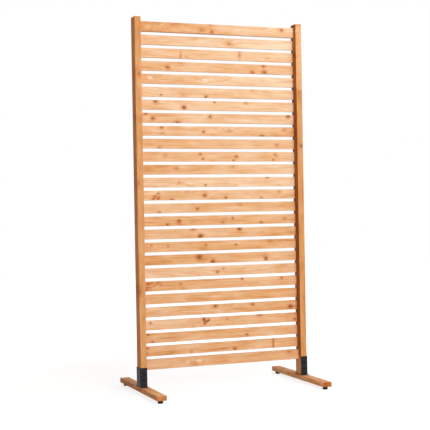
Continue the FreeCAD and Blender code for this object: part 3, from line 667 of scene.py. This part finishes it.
def make_sole_rubber():
    material, tree, shader = new_material("black_sole_rubber")
    wear = worn(tree, 1.1, 5.0)
    colour = blend(tree, wear["Mottle"], linear(28, 27, 28), linear(42, 40, 40))
    colour = spread(tree, wear["Dust"], 0.4, colour, linear(128, 118, 108))
    rough = maths(tree, "MULTIPLY_ADD", wear["Texture"], 0.12, 0.72)
    finish(tree, shader, colour, rough, wear["Texture"], depth=0.08 * MM, gloss=0.3)
    return material


powder_coat = make_powder_coat()
black_screws = make_black_screws()
zinc = make_bright_steel("bright_zinc_plating", linear(196, 199, 204), linear(208, 202, 188), 0.24)
brad_wire = make_bright_steel("stainless_brad_wire", linear(184, 184, 186),
                              linear(200, 198, 194), 0.30)
grip_plastic = make_grip_plastic()
sole_rubber = make_sole_rubber()

for side in SIDES:
    dress(f"{side}_post_shoe", powder_coat)
    dress(f"{side}_slat_brads", brad_wire)
    dress(f"{side}_tee_nuts", zinc)
    dress(f"{side}_foot_inserts", zinc)
    for end in ENDS:
        dress(f"{side}_{end}_foot_grip", grip_plastic)
        dress(f"{side}_{end}_foot_sole", sole_rubber)


# ---------------------------------------------------------------- screws, bolts and studs

CIRCLE_SEGMENTS = 48
THREAD_STEPS = 24
SMOOTH_BELOW = math.radians(35)


def outline_reach(radius, outline, angle):
    """How far a round, hexagon or six-lobed star outline is from its middle at an angle."""
    if outline == "hexagon":
        sector = math.pi / 3
        return radius * math.cos(sector / 2) / math.cos(angle % sector - sector / 2)
    if outline == "star":
        return radius * (0.88 + 0.12 * math.cos(6 * angle))
    return radius


def turned_form(form, rings):
    """A closed form of rings stacked one after the other, each (radius, height, outline)."""
    first = bmesh.ops.create_circle(form, cap_ends=True, segments=CIRCLE_SEGMENTS,
                                    radius=1.0)["verts"]
    edges = list({edge for vert in first for edge in vert.link_edges if len(edge.link_faces) == 1})

    def lay(verts, radius, height, outline):
        for vert in verts:
            angle = math.atan2(vert.co.y, vert.co.x)
            reach = outline_reach(radius, outline, angle)
            vert.co = (reach * math.cos(angle), reach * math.sin(angle), height)

    lay(first, *rings[0])
    for ring in rings[1:]:
        made = bmesh.ops.extrude_edge_only(form, edges=edges)["geom"]
        verts = [part for part in made if isinstance(part, bmesh.types.BMVert)]
        edges = [part for part in made if isinstance(part, bmesh.types.BMEdge)
                 and all(vert in verts for vert in part.verts)]
        lay(verts, *ring)
    bmesh.ops.edgeloop_fill(form, edges=edges)


def threaded_rod(form, radius, pitch, depth, low, high):
    """A rod with a helical thread between two heights, closed at both ends, in an empty form."""
    core = radius - depth
    profile = ((core, 0.0), (radius, 0.40), (radius, 0.55), (core, 0.95), (core, 1.0))
    start = low - 1.5 * pitch
    turns = int((high - low) / pitch) + 3
    verts = [form.verts.new((reach, 0.0, start + share * pitch)) for reach, share in profile]
    edges = [form.edges.new(pair) for pair in zip(verts, verts[1:])]
    bmesh.ops.spin(form, geom=verts + edges, cent=(0, 0, 0), axis=(0, 0, 1),
                   dvec=(0, 0, pitch / THREAD_STEPS), angle=2 * math.pi, steps=THREAD_STEPS,
                   use_merge=False, use_duplicate=False)
    one_turn = [*form.verts, *form.edges, *form.faces]
    for number in range(1, turns):
        made = bmesh.ops.duplicate(form, geom=one_turn)["geom"]
        fresh = [part for part in made if isinstance(part, bmesh.types.BMVert)]
        bmesh.ops.translate(form, vec=(0, 0, number * pitch), verts=fresh)
    bmesh.ops.remove_doubles(form, verts=form.verts, dist=pitch * 0.01)
    for height, way in ((low, -1), (high, 1)):
        cut = bmesh.ops.bisect_plane(
            form, geom=[*form.verts, *form.edges, *form.faces], dist=1e-4,
            plane_co=(0, 0, height), plane_no=(0, 0, way), clear_outer=True)["geom_cut"]
        rim = [part for part in cut if isinstance(part, bmesh.types.BMEdge)]
        bmesh.ops.edgeloop_fill(form, edges=rim)


def screw_point(form, tip):
    """A wood screw's smooth point, down to its tip."""
    turned_form(form, [(1.5, tip + 4.2, "round"), (1.5, tip + 3.6, "round"),
                       (0.9, tip + 1.6, "round"), (0.1, tip, "round")])


def pan_head_screw(form):
    """A pan-head screw, its head up from 0 with a hexagon socket, and its point down."""
    threaded_rod(form, radius=2.0, pitch=1.4, depth=0.5, low=-21.0, high=-0.1)
    turned_form(form, [
        (2.0, 1.0, "hexagon"), (2.0, 2.45, "hexagon"), (2.25, 2.6, "round"), (2.7, 2.6, "round"),
        (3.35, 2.46, "round"), (3.95, 2.12, "round"), (4.32, 1.6, "round"), (4.48, 1.0, "round"),
        (4.5, 0.25, "round"), (4.42, 0.0, "round"), (1.6, 0.0, "round")])
    screw_point(form, tip=-25.0)


def countersunk_screw(form):
    """A countersunk screw with a star socket, its head's top on 0 and its point down."""
    threaded_rod(form, radius=2.1, pitch=1.8, depth=0.6, low=-26.0, high=-3.0)
    turned_form(form, [
        (1.9, -1.7, "star"), (1.9, -0.1, "star"), (2.15, 0.0, "round"), (4.05, 0.0, "round"),
        (4.2, -0.12, "round"), (4.1, -0.35, "round"), (2.2, -2.9, "round"), (1.6, -3.4, "round")])
    screw_point(form, tip=-30.0)


def button_head_bolt(form):
    """A button-head bolt, its head up from 0 with a hexagon socket, and its thread down."""
    threaded_rod(form, radius=3.0, pitch=1.0, depth=0.55, low=-24.0, high=-0.1)
    turned_form(form, [
        (2.3, 1.3, "hexagon"), (2.3, 3.12, "hexagon"), (2.55, 3.3, "round"), (3.1, 3.26, "round"),
        (3.8, 2.96, "round"), (4.5, 2.36, "round"), (5.0, 1.6, "round"), (5.22, 0.85, "round"),
        (5.25, 0.2, "round"), (5.15, 0.0, "round"), (2.4, 0.0, "round")])


def foot_stud(form):
    """A stud up from the floor: the hexagon head that the grip holds, then its thread."""
    head_foot, head_top, top = 5.28, 9.28, 33.0
    threaded_rod(form, radius=4.0, pitch=1.25, depth=0.68, low=head_top - 0.1, high=top - 0.8)
    turned_form(form, [(7.5, head_foot, "hexagon"), (7.5, head_top, "hexagon")])
    turned_form(form, [(3.3, top - 0.9, "round"), (3.3, top - 0.5, "round"), (2.8, top, "round")])


def standing(x, y, z, way=(0, 0, 1)):
    """A matrix that stands a form on a place, with its own z axis along the way."""
    turn = Vector(way).to_track_quat("Z", "Y").to_matrix().to_4x4()
    return Matrix.Translation((x, y, z)) @ turn


def fasteners(name, make_form, places, material, body, replaced):
    """One piece of alike fasteners, which rides on a body and stands for a CAD node.

    The form is made in millimetres, and each place is a matrix from its axes to the scene's.
    """
    form = bmesh.new()
    make_form(form)
    bmesh.ops.recalc_face_normals(form, faces=form.faces)
    one = bpy.data.meshes.new("one_fastener")
    form.to_mesh(one)
    form.free()

    together = bmesh.new()
    for matrix in places:
        placed = one.copy()
        placed.transform(matrix @ Matrix.Scale(MM, 4))
        together.from_mesh(placed)
        bpy.data.meshes.remove(placed)
    bpy.data.meshes.remove(one)
    bmesh.ops.recalc_face_normals(together, faces=together.faces)
    mesh = bpy.data.meshes.new(name)
    together.to_mesh(mesh)
    together.free()

    for face in mesh.polygons:
        face.use_smooth = True
    mesh.set_sharp_from_angle(angle=SMOOTH_BELOW)
    mesh.materials.append(material)
    piece = bpy.data.objects.new(name, mesh)
    bpy.context.collection.objects.link(piece)
    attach(piece, body)
    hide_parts(replaced)


# The heads' sizes, which say where each fastener's seat is inside the box of its CAD node, and
# the shoe's flanges, which have a bolt in their middle.
PAN_HEAD_RADIUS, PAN_HEAD_HEIGHT = 4.5 * MM, 2.6 * MM
COUNTERSUNK_RADIUS = 4.2 * MM
BUTTON_HEAD_HEIGHT = 3.3 * MM
SHOE_FLANGE = 14 * MM

for side in SIDES:
    node = f"{side}_shoe_screws"
    low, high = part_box(node)
    faces = ((low[1] + PAN_HEAD_HEIGHT, -1), (high[1] - PAN_HEAD_HEIGHT, 1))
    heights = (low[2] + PAN_HEAD_RADIUS, high[2] - PAN_HEAD_RADIUS)
    fasteners(f"{side}_pan_head_screws", pan_head_screw,
              [standing(middle_of(node).x, y, z, (0, way, 0)) for y, way in faces for z in heights],
              black_screws, "screen", node)

    node = f"{side}_shoe_bolts"
    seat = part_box(node)[1][2] - BUTTON_HEAD_HEIGHT
    low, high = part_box(f"{side}_post_shoe")
    flanges = (low[1] + SHOE_FLANGE / 2, high[1] - SHOE_FLANGE / 2)
    fasteners(f"{side}_button_head_bolts", button_head_bolt,
              [standing(middle_of(node).x, y, seat) for y in flanges],
              black_screws, "screen", node)

    node = f"{side}_rail_screws"
    low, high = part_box(node)
    heights = (low[2] + COUNTERSUNK_RADIUS, high[2] - COUNTERSUNK_RADIUS)
    fasteners(f"{side}_countersunk_screws", countersunk_screw,
              [standing(middle_of(node).x, high[1], z, (0, 1, 0)) for z in heights],
              zinc, "screen", node)

    for end in ENDS:
        node = f"{side}_{end}_foot_stud"
        middle = middle_of(node)
        fasteners(f"{side}_{end}_threaded_stud", foot_stud,
                  [Matrix.Translation((middle.x, middle.y, 0))],
                  zinc, f"{side}_{end}_screw", node)


# ---------------------------------------------------------------- floor, light and camera

def seen_directly(tree):
    """1 for the camera's rays, and for those that gloss or glass sends on, else 0."""
    path = tree.nodes.new("ShaderNodeLightPath")
    sent_on = maths(tree, "MAXIMUM", path.outputs["Is Glossy Ray"],
                    path.outputs["Is Transmission Ray"])
    return maths(tree, "MAXIMUM", path.outputs["Is Camera Ray"], sent_on)


def make_floor():
    """A plain pale floor that looks white to the camera but keeps a soft shadow."""
    grid = bmesh.new()
    bmesh.ops.create_grid(grid, x_segments=1, y_segments=1, size=9.0)
    mesh = bpy.data.meshes.new("floor")
    grid.to_mesh(mesh)
    grid.free()
    floor = bpy.data.objects.new("floor", mesh)
    bpy.context.collection.objects.link(floor)

    material = bpy.data.materials.new("pale_floor")
    material.use_nodes = True
    tree = material.node_tree
    tree.nodes.clear()
    output = tree.nodes.new("ShaderNodeOutputMaterial")
    matt = place(tree, "ShaderNodeBsdfDiffuse", {"Color": (0.68, 0.64, 0.60, 1.0)})
    # What the camera sees: a glow that grows to full white away from the screen, and under it a
    # matt surface that takes the shadow.
    point = tree.nodes.new("ShaderNodeTexCoord").outputs["Object"]
    glow = ramp(tree, vectors(tree, "LENGTH", point), 1.0, 2.2, 0.82, 1.0)
    white = place(tree, "ShaderNodeEmission", {"Strength": glow})
    shaded = place(tree, "ShaderNodeBsdfDiffuse", {"Color": (0.30, 0.30, 0.30, 1.0)})
    seen = place(tree, "ShaderNodeAddShader", {0: shaded.outputs[0], 1: white.outputs[0]})
    mixed = place(tree, "ShaderNodeMixShader", {
        0: seen_directly(tree), 1: matt.outputs[0], 2: seen.outputs[0]})
    tree.links.new(mixed.outputs[0], output.inputs["Surface"])
    mesh.materials.append(material)


def make_sky(fill):
    """A plain surround, white to look at, that lights the object softly."""
    world = bpy.data.worlds.new("studio")
    bpy.context.scene.world = world
    world.use_nodes = True
    tree = world.node_tree
    tree.nodes.clear()
    output = tree.nodes.new("ShaderNodeOutputWorld")
    colour = blend(tree, seen_directly(tree), (*fill, 1.0), (1.0, 1.0, 1.0, 1.0))
    surround = place(tree, "ShaderNodeBackground", {"Color": colour})
    tree.links.new(surround.outputs[0], output.inputs["Surface"])


def look_at(where, towards):
    """A matrix that stands a lamp at a place and points it at another."""
    aim = Vector(towards) - Vector(where)
    return Matrix.Translation(where) @ aim.to_track_quat("-Z", "Y").to_matrix().to_4x4()


def make_lamp(name, where, towards, size, watts):
    """A soft square lamp."""
    lamp = bpy.data.lights.new(name, "AREA")
    lamp.shape = "SQUARE"
    lamp.size = size
    lamp.energy = watts
    lamp_object = bpy.data.objects.new(name, lamp)
    bpy.context.collection.objects.link(lamp_object)
    lamp_object.matrix_world = look_at(where, towards)


def make_camera():
    """The photograph's view, from the front and left at chest height."""
    where = Vector((-1.92769, -4.91042, 0.88242))
    yaw, pitch, roll = (math.radians(angle) for angle in (-21.134, -0.362, -1.018))
    ahead = Vector((-math.sin(yaw) * math.cos(pitch), math.cos(yaw) * math.cos(pitch),
                    math.sin(pitch)))
    right = Vector((math.cos(yaw), math.sin(yaw), 0.0))
    up = right.cross(ahead)
    rolled_right = math.cos(roll) * right + math.sin(roll) * up
    rolled_up = -math.sin(roll) * right + math.cos(roll) * up
    camera = bpy.data.cameras.new("camera")
    camera.sensor_width = 36.0
    camera.lens = 89.76
    camera_object = bpy.data.objects.new("camera", camera)
    bpy.context.collection.objects.link(camera_object)
    turn = Matrix((rolled_right, rolled_up, -ahead)).transposed().to_4x4()
    camera_object.matrix_world = Matrix.Translation(where) @ turn
    bpy.context.scene.camera = camera_object


make_floor()
make_sky(fill=(0.205, 0.18, 0.16))
make_lamp("softbox", where=(0.8, -6.2, 2.7), towards=(0.0, 0.0, 0.9), size=2.4, watts=276.0)
make_lamp("overhead", where=(1.0, -0.3, 3.9), towards=(0.2, 0.0, 0.3), size=2.0, watts=51.0)
make_lamp("fill", where=(-4.2, 0.2, 0.7), towards=(0.0, 0.0, 0.5), size=2.0, watts=24.0)
make_lamp("back_softbox", where=(4.2, 3.6, 1.9), towards=(0.0, 0.0, 0.9), size=2.4, watts=66.0)
make_camera()
bpy.context.scene.view_settings.view_transform = "Standard"
